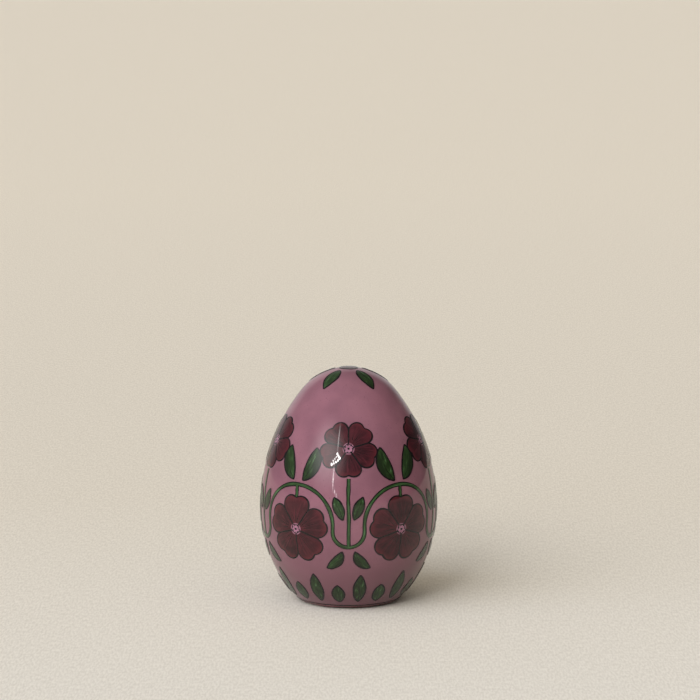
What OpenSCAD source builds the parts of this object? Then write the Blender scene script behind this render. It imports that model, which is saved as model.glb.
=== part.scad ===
// A hollow slip-cast ceramic egg on a flat foot, painted with roses on a waving vine.
// Millimetres. +Z is up, the origin is the centre of the foot, and the front faces -Y.

/* [Egg shape] */
// Height of the glazed egg above what it stands on
egg_h = 88; // [84:0.5:92]
// Width of the glazed egg at its belly
belly_d = 66; // [63:0.5:69]
// Height of the belly, the widest circle
belly_z = 35.5; // [34:0.5:37]
// Radius of the round crown at the top
crown_r = 22.5; // [21:0.5:24]
// Radius of the round base that the foot is cut from, as a share of the belly's
base_share = 0.9; // [0.87:0.005:0.92]
// Width of the foot, where the egg's curve meets the ground
foot_d = 35.4; // [33:0.2:38]

/* [Clay body] */
// Thickness of the fired clay wall
wall_t = 4; // [3:0.25:6]
// Thickness of the clay floor over the foot
floor_t = 5; // [4:0.25:7]
// Radius that softens the foot's outer edge
foot_edge_r = 2; // [1:0.25:3]
// Width of the foot ring, from the egg's curve in to the hollow
foot_ring_w = 5.7; // [4:0.1:8]
// Depth of the hollow in the underside
recess_h = 1.2; // [0.6:0.1:2]
// Width of the casting vent through the floor
vent_d = 8; // [5:0.5:12]

/* [Glaze and paint] */
// Thickness of the mauve ground glaze
glaze_t = 0.5; // [0.3:0.05:0.8]
// Height of the bare clay left round the foot
dry_foot_h = 0.8; // [0.4:0.1:1.5]
// Thickness of the painted colours over the ground
paint_t = 0.2; // [0.1:0.05:0.25]
// Thickness of the dark line work over the ground
line_t = 0.28; // [0.26:0.02:0.5]
// Width of the dark line round each petal and leaf
line_w = 0.6; // [0.4:0.05:1]
// Height of the dark band painted round the foot
foot_band_h = 0.7; // [0.4:0.1:1.2]
// Clear ground glaze between the bare foot and that band
foot_band_gap = 0.5; // [0.3:0.1:1]

/* [Roses] */
// Least clear ground between neighbouring roses; a ring holds as many as this leaves room for
rose_gap = 11; // [9:0.5:14]
// Radius of a rose in the lower ring
low_rose_r = 12.5; // [10:0.5:13]
// Height of the middles of the lower roses
low_rose_z = 32; // [31:0.5:33]
// Radius of a rose in the upper ring
high_rose_r = 10.5; // [8:0.5:11]
// Height of the middles of the upper roses
high_rose_z = 62; // [61:0.5:63]
// Radius of the pale eye of a rose
eye_r = 2.4; // [1.5:0.1:3]
// Width of each stamen dot in an eye
stamen_d = 0.7; // [0.5:0.1:0.9]
// Radius of the round bud on the crown
bud_r = 3.4; // [2:0.2:4]

/* [Vine and leaves] */
// Width of the vine
vine_w = 1.7; // [1:0.1:2.2]
// Height of the vine's low bends, between the lower roses
vine_low_z = 26; // [24:0.5:28]
// Height of the vine's high bends, over the lower roses
vine_high_z = 48.5; // [47.5:0.5:49.5]
// Length of a leaf on the vine
leaf_len = 14; // [10:0.5:15]
// Width of a leaf on the vine
leaf_w = 6; // [4:0.2:7]
// Length of a tall leaf in the ring round the foot
foot_leaf_len = 14; // [10:0.5:15]
// Width of a leaf in the ring round the foot
foot_leaf_w = 5.2; // [3:0.2:6]
// Length of a leaf in the whorl on the crown
crown_leaf_len = 11; // [7:0.5:12]
// Width of a leaf in the whorl on the crown
crown_leaf_w = 5.4; // [3:0.2:6]

/* [Hidden] */
$fn = 96;
// Facets of a circle where a thin ring needs more of them, and where a small round needs fewer
fine_facets = 240;
small_facets = 48;

// Colours, as the photographed egg shows them
clay_colour = "#c9b49c";
ground_colour = "#96687a";
leaf_colour = "#2c5233";
vine_colour = "#34613c";
petal_colour = "#5a2730";
line_colour = "#221a1c";
eye_colour = "#a97788";

// The egg's outline is four tangent arcs: crown, side, flank and base
belly_r = belly_d / 2;
foot_r = foot_d / 2;
base_r = base_share * belly_r;
crown_z = egg_h - crown_r;
crown_rise = crown_z - belly_z;
side_r = (belly_r + crown_r + crown_rise ^ 2 / (belly_r - crown_r)) / 2;
side_x = belly_r - side_r;
crown_tilt = atan2(crown_rise, -side_x);
base_z = sqrt(base_r ^ 2 - foot_r ^ 2);
base_drop = belly_z - base_z;
flank_r = (belly_r + base_r + base_drop ^ 2 / (belly_r - base_r)) / 2;
flank_x = belly_r - flank_r;
base_tilt = -atan2(base_drop, -flank_x);

// Far enough to run past any edge of a half outline
past = belly_d;
// How far a stencil starts outside the egg, and how deep it reaches, as shares of its own radius
stencil_rise_share = 0.15;
stencil_depth_share = 0.45;

// Centre and radius of the arc whose outward normal rises by tilt degrees
function arc_at(tilt) =
    tilt >= crown_tilt ? [0, crown_z, crown_r]
    : tilt >= 0 ? [side_x, belly_z, side_r]
    : tilt >= base_tilt ? [flank_x, belly_z, flank_r]
    : [0, base_z, base_r];

// Radius and height of the surface there, with t of coat over the ground glaze
function skin(tilt, t = 0) =
    let (arc = arc_at(tilt))
    [arc[0] + (arc[2] + t) * cos(tilt), arc[1] + (arc[2] + t) * sin(tilt)];

// Tilt of the outward normal at height z
function tilt_at(z) =
    z >= skin(crown_tilt)[1] ? asin((z - crown_z) / crown_r)
    : z >= belly_z ? asin((z - belly_z) / side_r)
    : z >= skin(base_tilt)[1] ? asin((z - belly_z) / flank_r)
    : asin((z - base_z) / base_r);

// A point of the surface, from the turn round the egg and the tilt
function spot(turn, tilt) =
    let (p = skin(tilt))
    [p[0] * sin(turn), -p[0] * cos(turn), p[1]];

// Where point p falls on the tangent plane at that turn and tilt
function flat_at(turn, tilt, p) =
    let (d = p - spot(turn, tilt))
    [d * [cos(turn), sin(turn), 0],
     d * [-sin(turn) * sin(tilt), cos(turn) * sin(tilt), cos(tilt)]];

// Puts a flat drawing on the tangent plane there, with its Y up the egg
module on_egg(turn, tilt) {
    p = skin(tilt);
    rotate([0, 0, turn]) translate([0, -p[0], p[1]]) rotate([90 - tilt, 0, 0]) children();
}

// A straight cutter from a flat drawing that reaches out to the given radius
module stencil(radius) {
    translate([0, 0, -stencil_depth_share * radius])
        linear_extrude((stencil_depth_share + stencil_rise_share) * radius) children();
}

module band(low, high) {
    intersection() {
        translate([0, low]) square([past, high - low]);
        children();
    }
}

// Half of the egg's outline from height low upwards, with t of coat
module half_outline(t, low) {
    high_join = skin(crown_tilt, t)[1];
    low_join = skin(base_tilt, t)[1];
    band(low, egg_h + past) {
        translate([0, crown_z]) circle(crown_r + t);
        band(belly_z, high_join) translate([side_x, belly_z]) circle(side_r + t);
        band(low_join, high_join) translate([flank_x, belly_z]) circle(flank_r + t);
        translate([0, base_z]) circle(base_r + t);
    }
}

// A thin coat over the ground glaze, from t0 to t1, kept only where the stencils lie
module painted(t0, t1) {
    intersection() {
        rotate_extrude() difference() {
            half_outline(t1, dry_foot_h);
            half_outline(t0, dry_foot_h - past);
        }
        union() children();
    }
}

// Half of the clay's outline, with its softened foot edge
module clay_outline() {
    round_r = base_r - glaze_t;
    edge_x = sqrt((round_r - foot_edge_r) ^ 2 - (base_z - foot_edge_r) ^ 2);
    edge_z = base_z - round_r * (base_z - foot_edge_r) / (round_r - foot_edge_r);
    half_outline(-glaze_t, edge_z);
    square([edge_x, edge_z]);
    band(0, edge_z) translate([edge_x, foot_edge_r]) circle(foot_edge_r);
}

// The clay: a hollow egg with a turned recess in its foot and a vent through its floor
module clay_body() {
    color(clay_colour) rotate_extrude() difference() {
        clay_outline();
        half_outline(-glaze_t - wall_t, floor_t);
        square([foot_r - foot_ring_w, recess_h]);
        square([vent_d / 2, floor_t]);
    }
}

module ground_glaze() {
    color(ground_colour) rotate_extrude() difference() {
        half_outline(0, dry_foot_h);
        clay_outline();
    }
}

// The dark line that finishes the painting at the foot
band_top = dry_foot_h + foot_band_gap + foot_band_h;
module foot_band() {
    low = dry_foot_h + foot_band_gap;
    color(line_colour) rotate_extrude($fn = fine_facets) band(low, band_top) difference() {
        half_outline(line_t, low - past, $fn = fine_facets);
        half_outline(0, low - past, $fn = fine_facets);
    }
}

// A rose of heart-shaped petals, each one two round lobes on a wedge, drawn in by inset
petal_count = 5;
petal_half = 180 / petal_count;
// A lobe's middle lies this many degrees off its petal's middle line
petal_spread = 13;
// A petal's straight sides end inside its lobes, this far out from their middles
side_share = 0.98;
module petal_ring(r, inset) {
    out = r / (1 + sin(petal_half - petal_spread));
    lobe = out * [cos(petal_spread), sin(petal_spread)];
    lobe_r = r - out - inset;
    corner = lobe + side_share * lobe_r * [-sin(petal_half), cos(petal_half)];
    for (i = [0 : petal_count - 1]) rotate(90 + 2 * i * petal_half) {
        translate(lobe) circle(lobe_r, $fn = small_facets);
        translate([lobe[0], -lobe[1]]) circle(lobe_r, $fn = small_facets);
        polygon([[inset / sin(petal_half), 0], corner, lobe, [lobe[0], -lobe[1]],
                 [corner[0], -corner[1]]]);
    }
}

// A pointed leaf along +Y between two arcs, drawn in by inset; bow makes its right side fuller
module leaf(len, w, bow, inset) {
    right = (0.5 + bow) * w;
    left = (0.5 - bow) * w;
    right_r = (len ^ 2 / 4 + right ^ 2) / (2 * right);
    left_r = (len ^ 2 / 4 + left ^ 2) / (2 * left);
    intersection() {
        translate([right - right_r, len / 2]) circle(right_r - inset);
        translate([left_r - left, len / 2]) circle(left_r - inset);
    }
}

// The two rings of roses stand half a step apart, the upper ones upside down on their stalks
low_tilt = tilt_at(low_rose_z);
high_tilt = tilt_at(high_rose_z);
low_half_step = asin((low_rose_r + rose_gap / 2) / skin(low_tilt)[0]);
high_half_step = asin((high_rose_r + rose_gap / 2) / skin(high_tilt)[0]);
rose_count = floor(180 / max(low_half_step, high_half_step));
rose_step = 360 / rose_count;
module at_roses() {
    for (i = [0 : rose_count - 1]) {
        on_egg((i + 0.5) * rose_step, low_tilt) stencil(low_rose_r) children(0);
        on_egg(i * rose_step, high_tilt) stencil(high_rose_r) rotate(180) children(1);
    }
}
module petal_fill(r) {
    difference() {
        petal_ring(r, line_w / 2);
        circle(eye_r);
    }
}
module petals() {
    color(petal_colour) painted(0, paint_t) at_roses() {
        petal_fill(low_rose_r);
        petal_fill(high_rose_r);
    }
}
module petal_rim(r) {
    difference() {
        petal_ring(r, -line_w / 2);
        petal_ring(r, line_w / 2);
        circle(eye_r);
    }
}
module petal_lines() {
    color(line_colour) painted(0, line_t) at_roses() {
        petal_rim(low_rose_r);
        petal_rim(high_rose_r);
    }
}
module rose_eyes() {
    color(eye_colour) painted(0, paint_t) at_roses() {
        circle(eye_r);
        circle(eye_r);
    }
}

// Dark dots in a ring inside each eye, with one in the middle
stamen_count = 7;
stamen_ring_share = 0.62;
module stamen_ring() {
    circle(d = stamen_d, $fn = small_facets);
    for (i = [0 : stamen_count - 1]) rotate(i * 360 / stamen_count)
        translate([stamen_ring_share * eye_r, 0]) circle(d = stamen_d, $fn = small_facets);
}
module stamens() {
    color(line_colour) painted(paint_t, line_t) at_roses() {
        stamen_ring();
        stamen_ring();
    }
}
module crown_bud() {
    color(petal_colour) painted(0, paint_t) on_egg(0, 90) stencil(2 * bud_r) circle(bud_r);
}

// A strip along an arc round the drawing's origin, from one angle to the other
module arc_strip(r, w, from, to) {
    reach = 2 * r;
    middle = (from + to) / 2;
    intersection() {
        difference() {
            circle(r + w / 2);
            circle(r - w / 2);
        }
        polygon([[0, 0], reach * [cos(from), sin(from)], reach * [cos(middle), sin(middle)],
                 reach * [cos(to), sin(to)]]);
    }
}

// The vine waves over the lower roses, each half wave two arcs on the plane at its middle
high_bend_share = 0.72;
// Neighbouring half waves run this many degrees past the bend where they meet
overlap_turn = 3;
vine_tilt = tilt_at((vine_low_z + vine_high_z) / 2);
module vine_wave(turn, side) {
    middle = turn + side * rose_step / 4;
    low = flat_at(middle, vine_tilt, spot(turn, tilt_at(vine_low_z)));
    high = flat_at(middle, vine_tilt, spot(turn + side * rose_step / 2, tilt_at(vine_high_z)));
    rise = high[1] - low[1];
    reach = abs(high[0] - low[0]);
    both_r = (reach ^ 2 + rise ^ 2) / (2 * rise);
    high_r = high_bend_share * both_r;
    low_r = both_r - high_r;
    sweep = acos(1 - rise / both_r);
    on_egg(middle, vine_tilt) stencil(rise) {
        translate([low[0], low[1] + low_r])
            arc_strip(low_r, vine_w, -90 - side * overlap_turn, -90 + side * sweep);
        translate([high[0], high[1] - high_r])
            arc_strip(high_r, vine_w, 90 - side * overlap_turn, 90 + side * sweep);
    }
}

// A straight stalk between two heights
module stalk(turn, z0, z1) {
    tilt = tilt_at((z0 + z1) / 2);
    low = flat_at(turn, tilt, spot(turn, tilt_at(z0)));
    high = flat_at(turn, tilt, spot(turn, tilt_at(z1)));
    on_egg(turn, tilt) stencil(vine_high_z - vine_low_z)
        translate([-vine_w / 2, low[1]]) square([vine_w, high[1] - low[1]]);
}
module vine() {
    color(vine_colour) painted(0, paint_t) difference() {
        for (i = [0 : rose_count - 1]) {
            vine_wave(i * rose_step, 1);
            vine_wave(i * rose_step, -1);
            stalk(i * rose_step, vine_low_z, high_rose_z);
            stalk((i + 0.5) * rose_step, low_rose_z, vine_high_z);
        }
        at_roses() {
            circle(low_rose_r);
            circle(high_rose_r);
        }
    }
}

// Leaves stand clear of the vine by this much
node_gap = 1.2;
// How far the leaves of a pair stand to each side, in degrees round the egg, and how they lean
high_leaf_turn = 3;
high_leaf_lean = 17;
low_leaf_turn = 4;
low_leaf_lean = 140;
stalk_leaf_turn = 3.2;
stalk_leaf_lean = 22;
// The bow of the vine's leaves, and the size of its small ones against its large ones
leaf_bow_share = 0.3;
small_leaf_share = 0.7;
// Tall and short leaves take turns round the foot
foot_leaf_z = band_top + node_gap;
foot_leaves = 4 * rose_count;
short_leaf_share = 0.66;
// Ground left bare round the crown's bud
crown_gap = 1.5;

module leaf_on(turn, z, lean, len, w, bow, inset) {
    on_egg(turn, tilt_at(z)) stencil(len) rotate(-lean) leaf(len, w, bow, inset);
}
module vine_leaves(inset) {
    small_len = leaf_len * small_leaf_share;
    small_w = leaf_w * small_leaf_share;
    for (i = [0 : rose_count - 1], side = [-1, 1]) {
        leaf_on((i + 0.5) * rose_step + side * high_leaf_turn, vine_high_z + node_gap,
                side * high_leaf_lean, leaf_len, leaf_w, side * leaf_bow_share, inset);
        leaf_on(i * rose_step + side * low_leaf_turn, vine_low_z - node_gap,
                side * low_leaf_lean, small_len, small_w, side * leaf_bow_share, inset);
        leaf_on(i * rose_step + side * stalk_leaf_turn, (vine_low_z + vine_high_z) / 2 - node_gap,
                side * stalk_leaf_lean, small_len, small_w, 0, inset);
    }
}
module foot_ring(inset) {
    for (i = [0 : foot_leaves - 1])
        leaf_on((i + 0.5) * 360 / foot_leaves, foot_leaf_z, 0,
                foot_leaf_len * (i % 2 == 0 ? 1 : short_leaf_share), foot_leaf_w, 0, inset);
}
module crown_whorl(inset) {
    for (i = [0 : rose_count - 1])
        on_egg(0, 90) stencil(2 * crown_leaf_len) rotate((i + 0.5) * rose_step - 180)
            translate([0, bud_r + crown_gap]) leaf(crown_leaf_len, crown_leaf_w, 0, inset);
}
module all_leaves(inset) {
    vine_leaves(inset);
    foot_ring(inset);
    crown_whorl(inset);
}
module leaves() {
    color(leaf_colour) painted(0, paint_t) all_leaves(line_w);
}
module leaf_lines() {
    color(line_colour) painted(0, line_t) difference() {
        all_leaves(0);
        all_leaves(line_w);
    }
}

clay_body();
ground_glaze();
foot_band();
vine();
leaves();
leaf_lines();
petals();
petal_lines();
rose_eyes();
stamens();
crown_bud();
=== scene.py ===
# A hollow glazed earthenware egg on its foot, painted with roses on a waving vine.
# Sizes here are in millimetres of the real egg and turned to metres where a mesh is made.
import math

import bpy
import numpy as np
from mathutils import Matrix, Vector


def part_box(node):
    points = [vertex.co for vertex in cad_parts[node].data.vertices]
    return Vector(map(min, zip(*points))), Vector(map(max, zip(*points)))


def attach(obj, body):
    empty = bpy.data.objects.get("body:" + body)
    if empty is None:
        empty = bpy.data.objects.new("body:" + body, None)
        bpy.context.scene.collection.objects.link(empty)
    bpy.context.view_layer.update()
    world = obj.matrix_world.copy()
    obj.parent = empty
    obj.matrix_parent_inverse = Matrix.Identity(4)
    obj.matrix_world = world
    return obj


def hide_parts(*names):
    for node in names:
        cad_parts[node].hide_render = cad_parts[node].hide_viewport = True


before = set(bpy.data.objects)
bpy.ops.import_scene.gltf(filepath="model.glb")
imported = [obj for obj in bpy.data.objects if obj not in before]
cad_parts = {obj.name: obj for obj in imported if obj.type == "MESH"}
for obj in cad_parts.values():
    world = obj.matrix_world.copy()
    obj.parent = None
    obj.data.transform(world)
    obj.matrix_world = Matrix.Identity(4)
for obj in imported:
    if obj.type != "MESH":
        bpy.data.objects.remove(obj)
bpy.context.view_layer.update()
MM = 0.001

# Camera: the photograph's viewing angle, worked out from where the egg lies in its 700 pixel frame
PHOTO_SIDE_PX = 700.0
FOCAL_PX = 3560.0
SENSOR_MM = 36.0
FOOT_MIDDLE_PX = (348.6, 598.3)
PITCH_DEG = 8.47
FOOT_DEPTH_MM = 1339.0
NEAR_CLIP_M, FAR_CLIP_M = 0.05, 50.0


def make_camera():
    data = bpy.data.cameras.new("camera")
    data.sensor_width = SENSOR_MM
    data.lens = FOCAL_PX * SENSOR_MM / PHOTO_SIDE_PX
    data.clip_start = NEAR_CLIP_M
    data.clip_end = FAR_CLIP_M
    camera = bpy.data.objects.new("camera", data)
    pitch = math.radians(PITCH_DEG)
    ahead = np.array([0.0, math.cos(pitch), -math.sin(pitch)])
    upward = np.array([0.0, math.sin(pitch), math.cos(pitch)])
    right = np.array([1.0, 0.0, 0.0])
    aside = (FOOT_MIDDLE_PX[0] - PHOTO_SIDE_PX / 2) / FOCAL_PX * FOOT_DEPTH_MM
    below = (FOOT_MIDDLE_PX[1] - PHOTO_SIDE_PX / 2) / FOCAL_PX * FOOT_DEPTH_MM
    camera.location = -MM * (FOOT_DEPTH_MM * ahead + aside * right - below * upward)
    camera.rotation_euler = (math.pi / 2 - pitch, 0.0, 0.0)
    bpy.context.collection.objects.link(camera)
    bpy.context.scene.camera = camera


make_camera()

# The egg's outline: four tangent arcs, from the frame's height and width and three radii
EGG_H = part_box("ground_glaze")[1][2] / MM
BELLY_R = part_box("ground_glaze")[1][0] / MM
BELLY_Z = 35.5
CROWN_R = 22.5
BASE_R = 29.7
FOOT_R = 17.7
CROWN_Z = EGG_H - CROWN_R
CROWN_RISE = CROWN_Z - BELLY_Z
SIDE_R = (BELLY_R + CROWN_R + CROWN_RISE ** 2 / (BELLY_R - CROWN_R)) / 2
BASE_Z = math.sqrt(BASE_R ** 2 - FOOT_R ** 2)
BASE_DROP = BELLY_Z - BASE_Z
FLANK_R = (BELLY_R + BASE_R + BASE_DROP ** 2 / (BELLY_R - BASE_R)) / 2
# Middle and radius of each arc, from the crown down
ARCS = np.array([[0.0, CROWN_Z, CROWN_R],
                 [BELLY_R - SIDE_R, BELLY_Z, SIDE_R],
                 [BELLY_R - FLANK_R, BELLY_Z, FLANK_R],
                 [0.0, BASE_Z, BASE_R]])
CROWN_TILT = math.atan2(CROWN_RISE, SIDE_R - BELLY_R)
BASE_TILT = -math.atan2(BASE_DROP, FLANK_R - BELLY_R)
# Passes that bring flat points down onto the skin
LAY_ROUNDS = 8


def arc_of(tilt):
    """The arc whose outward normal rises by tilt."""
    if tilt >= CROWN_TILT:
        return ARCS[0]
    if tilt >= 0:
        return ARCS[1]
    if tilt >= BASE_TILT:
        return ARCS[2]
    return ARCS[3]


def skin(tilt, lift=0.0):
    """Radius and height of the surface where its outward normal rises by tilt."""
    middle_r, middle_z, radius = arc_of(tilt)
    return middle_r + (radius + lift) * math.cos(tilt), middle_z + (radius + lift) * math.sin(tilt)


def tilt_at(z):
    """How much the outward normal rises at that height."""
    for arc, low in zip(ARCS, (skin(CROWN_TILT)[1], BELLY_Z, skin(BASE_TILT)[1], -EGG_H)):
        if z >= low:
            return math.asin(max(-1.0, min(1.0, (z - arc[1]) / arc[2])))


def nearest(points):
    """Distance of each point over the skin, and the skin's outward normal there."""
    out = np.hypot(points[:, 0], points[:, 1])
    crown = np.arctan2(points[:, 2] - CROWN_Z, out) >= CROWN_TILT
    base = np.arctan2(points[:, 2] - BELLY_Z, out - ARCS[2][0]) < BASE_TILT
    pick = np.where(crown, 0, np.where(points[:, 2] >= BELLY_Z, 1, np.where(base, 3, 2)))
    arc = ARCS[pick]
    run = out - arc[:, 0]
    rise = points[:, 2] - arc[:, 1]
    reach = np.hypot(run, rise)
    safe = np.maximum(out, 1e-9)
    normal = np.stack([run / reach * points[:, 0] / safe, run / reach * points[:, 1] / safe,
                       rise / reach], axis=1)
    return reach - arc[:, 2], normal


def lifted(points, lift):
    """The points moved along the normal until they stand lift over the skin."""
    gap, normal = nearest(points)
    return points + normal * (lift - gap)[:, None]


def plane_at(turn, tilt):
    """The skin's point there, and the plane that touches it: its ways across and upward."""
    out, height = skin(tilt)
    spot = np.array([out * math.sin(turn), -out * math.cos(turn), height])
    across = np.array([math.cos(turn), math.sin(turn), 0.0])
    upward = np.array([-math.sin(turn) * math.sin(tilt), math.cos(turn) * math.sin(tilt),
                       math.cos(tilt)])
    return spot, across, upward


def on_egg(turn, tilt, flat):
    """Flat points of the plane there, seen straight on, laid on the skin."""
    spot, across, upward = plane_at(turn, tilt)
    outward = np.cross(across, upward)
    points = spot + flat[:, :1] * across + flat[:, 1:2] * upward
    for _ in range(LAY_ROUNDS):
        gap, normal = nearest(points)
        points = points - (gap / (normal @ outward))[:, None] * outward
    return points


def flat_of(turn, tilt, other_turn, other_z):
    """Where the skin's point at the other turn and height lies on the plane at turn and tilt."""
    spot, across, upward = plane_at(turn, tilt)
    away = plane_at(other_turn, tilt_at(other_z))[0] - spot
    return np.array([away @ across, away @ upward])


# Heights over the ground glaze, a little under the solids' so that the piece stays inside them
PAINT_H = 0.16
LINE_H = 0.22
SUNK = -0.12
# How much higher the paint stands that is laid over other paint
OVER_H = 0.02

# Sections of the painted marks: pads as shares of the outline and of the height, from the edge
# in, and strokes as shares of the half width and of the height, from side to side
PAD_TOP = ((1.0, 0.0), (0.975, 0.45), (0.93, 0.72), (0.82, 0.92), (0.55, 1.0), (0.27, 1.0))
PAD_BOTTOM = (1.0, 0.5)
LINE_SECTION = ((-1.0, 0.0), (-0.86, 0.5), (-0.5, 0.87), (0.0, 1.0), (0.5, 0.87), (0.86, 0.5),
                (1.0, 0.0))
STALK_SECTION = ((-1.0, 0.0), (-0.94, 0.5), (-0.8, 0.8), (-0.45, 0.97), (0.0, 1.0), (0.45, 0.97),
                 (0.8, 0.8), (0.94, 0.5), (1.0, 0.0))
UNDER_SHARE = 0.85


class Batch:
    """Shapes gathered for one mesh: points, faces, brush marks and one seed a shape."""
    def __init__(self):
        self.points, self.faces, self.marks, self.seeds = [], [], [], []
        self.count = 0

    def add(self, points, faces, marks, seed):
        self.faces += [tuple(self.count + i for i in face) for face in faces]
        self.points.append(points)
        self.marks.append(marks)
        self.seeds.append(np.full(len(points), seed))
        self.count += len(points)


def ring_faces(first, second, size, closed=True):
    """Quads between two rings of points that start at first and second."""
    last = size if closed else size - 1
    return [(first + i, first + (i + 1) % size, second + (i + 1) % size, second + i)
            for i in range(last)]


def add_pad(batch, turn, tilt, outline, middle, height, mark, seed):
    """A closed cushion-edged coat of paint inside a flat outline that runs anticlockwise."""
    size = len(outline)
    flat, lift = [], []
    for share in reversed(PAD_BOTTOM):
        flat.append(middle + share * (outline - middle))
        lift.append(np.full(size, SUNK))
    for share, rise in PAD_TOP:
        flat.append(middle + share * (outline - middle))
        lift.append(np.full(size, rise * height))
    flat.append(np.array([middle, middle]))
    lift.append(np.array([SUNK, height]))
    flat = np.concatenate(flat)
    rings = len(PAD_BOTTOM) + len(PAD_TOP)
    faces = []
    for i in range(rings - 1):
        faces += ring_faces(i * size, (i + 1) * size, size)
    bottom, top = rings * size, rings * size + 1
    faces += [(bottom, (i + 1) % size, i) for i in range(size)]
    last = (rings - 1) * size
    faces += [(top, last + i, last + (i + 1) % size) for i in range(size)]
    batch.add(lifted(on_egg(turn, tilt, flat), np.concatenate(lift)), faces, mark(flat), seed)


def add_stroke(batch, path, half_w, height, section, closed, seed):
    """A closed ribbon along points of the skin, with a domed section."""
    size = len(path)
    if closed:
        run = np.roll(path, -1, axis=0) - np.roll(path, 1, axis=0)
        step = np.linalg.norm(np.roll(path, -1, axis=0) - path, axis=1)[:-1]
    else:
        run = np.gradient(path, axis=0)
        step = np.linalg.norm(np.diff(path, axis=0), axis=1)
    along = np.concatenate([[0.0], np.cumsum(step)])
    normal = nearest(path)[1]
    side = np.cross(normal, run)
    side /= np.linalg.norm(side, axis=1)[:, None]
    shape = [(across, rise * height) for across, rise in section]
    shape += [(UNDER_SHARE, SUNK), (-UNDER_SHARE, SUNK)]
    rows, marks = [], []
    for across, lift in shape:
        rows.append(lifted(path - side * (half_w * across)[:, None], lift))
        marks.append(np.stack([along, np.full(size, across)], axis=1))
    faces = []
    count = len(shape)
    for k in range(count):
        faces += ring_faces((k + 1) % count * size, k * size, size, closed)
    if not closed:
        faces.append(tuple(k * size for k in reversed(range(count))))
        faces.append(tuple(k * size + size - 1 for k in range(count)))
    batch.add(np.concatenate(rows), faces, np.concatenate(marks), seed)


def make_piece(name, batch, material, node):
    """One mesh object from a batch, with its brush marks and seeds."""
    mesh = bpy.data.meshes.new(name)
    mesh.from_pydata(np.concatenate(batch.points) * MM, [], batch.faces)
    corner = np.empty(len(mesh.loops), dtype=int)
    mesh.loops.foreach_get("vertex_index", corner)
    marks = np.concatenate(batch.marks)[corner]
    mesh.uv_layers.new(name="brush").data.foreach_set("uv", marks.astype(np.float32).ravel())
    seeds = mesh.attributes.new("seed", "FLOAT", "POINT")
    seeds.data.foreach_set("value", np.concatenate(batch.seeds).astype(np.float32))
    mesh.shade_smooth()
    mesh.materials.append(material)
    piece = bpy.data.objects.new(name, mesh)
    bpy.context.collection.objects.link(piece)
    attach(piece, "root")
    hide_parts(node)
    return piece


def make_paint(name, batch, material, node):
    """A painted piece: the clear glaze lies level over it, so it shades as the egg's skin does."""
    piece = make_piece(name, batch, material, node)
    gap, normal = nearest(np.concatenate(batch.points))
    normal[gap < 0] *= -1
    piece.data.normals_split_custom_set_from_vertices(normal)


# Flat outlines of the painted shapes, and the slight unevenness of a hand-held brush
rng = np.random.default_rng(11)
WAVE_SIZES = (0.4, 1.0)
# How often the waves of an unsteady hand fit into a line: from the first, up to but not the second
HAND_WAVES, VINE_WAVES, SWAY_WAVES, FOOT_LINE_WAVES = (2, 6), (9, 40), (1, 3), (5, 14)
CURVE_POINTS = 40


def even_closed(points, rounds, count=0, spacing=1.0):
    """The closed line with count evenly spaced points, or that spacing, softened in rounds."""
    loop = np.vstack([points, points[:1]])
    run = np.concatenate([[0.0], np.cumsum(np.linalg.norm(np.diff(loop, axis=0), axis=1))])
    spots = np.linspace(0.0, run[-1], count or int(run[-1] / spacing), endpoint=False)
    even = np.stack([np.interp(spots, run, column) for column in loop.T], axis=1)
    for _ in range(rounds):
        even = (np.roll(even, 1, axis=0) + 2 * even + np.roll(even, -1, axis=0)) / 4
    return even


def waver(count, closed=True, waves=HAND_WAVES):
    """A smooth random wave from -1 to 1 along a line."""
    s = np.linspace(0.0, 1.0, count, endpoint=not closed)
    wave = np.zeros(count)
    for k in range(*waves):
        wave += rng.uniform(*WAVE_SIZES) * np.sin(2 * math.pi * (k * s + rng.uniform()))
    return wave / np.abs(wave).max()


def wobble(outline, amount):
    """The outline moved a little in and out, as a hand does."""
    run = np.roll(outline, -1, axis=0) - np.roll(outline, 1, axis=0)
    outward = np.stack([run[:, 1], -run[:, 0]], axis=1)
    outward /= np.linalg.norm(outward, axis=1)[:, None]
    return outline + outward * (amount * waver(len(outline)))[:, None]


def turned(points, angle):
    c, s = math.cos(angle), math.sin(angle)
    return points @ np.array([[c, s], [-s, c]])


def arc_points(middle, radius, start, end, count):
    angles = np.linspace(start, end, count)
    return np.stack([middle[0] + radius * np.cos(angles), middle[1] + radius * np.sin(angles)], axis=1)


def circle_points(middle, r, count):
    return arc_points(middle, r, 0.0, 2 * math.pi, count + 1)[:-1]


PETALS = 5
PETAL_HALF = math.pi / PETALS
PETAL_SPREAD = math.radians(13)


def petal_outline(r, inner):
    """A heart-shaped petal along +X, from radius inner to r, as the line round it runs."""
    out = r / (1 + math.sin(PETAL_HALF - PETAL_SPREAD))
    lobe_r = r - out
    lobe = (out * math.cos(PETAL_SPREAD), out * math.sin(PETAL_SPREAD))
    notch = math.asin(lobe[1] / lobe_r)
    upper = arc_points(lobe, lobe_r, -notch, PETAL_HALF + math.pi / 2, CURVE_POINTS)
    start = inner * np.array([[math.cos(PETAL_HALF), math.sin(PETAL_HALF)]])
    half = np.vstack([upper, start])
    other = half[::-1] * (1, -1)
    return np.vstack([half, other])


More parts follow.
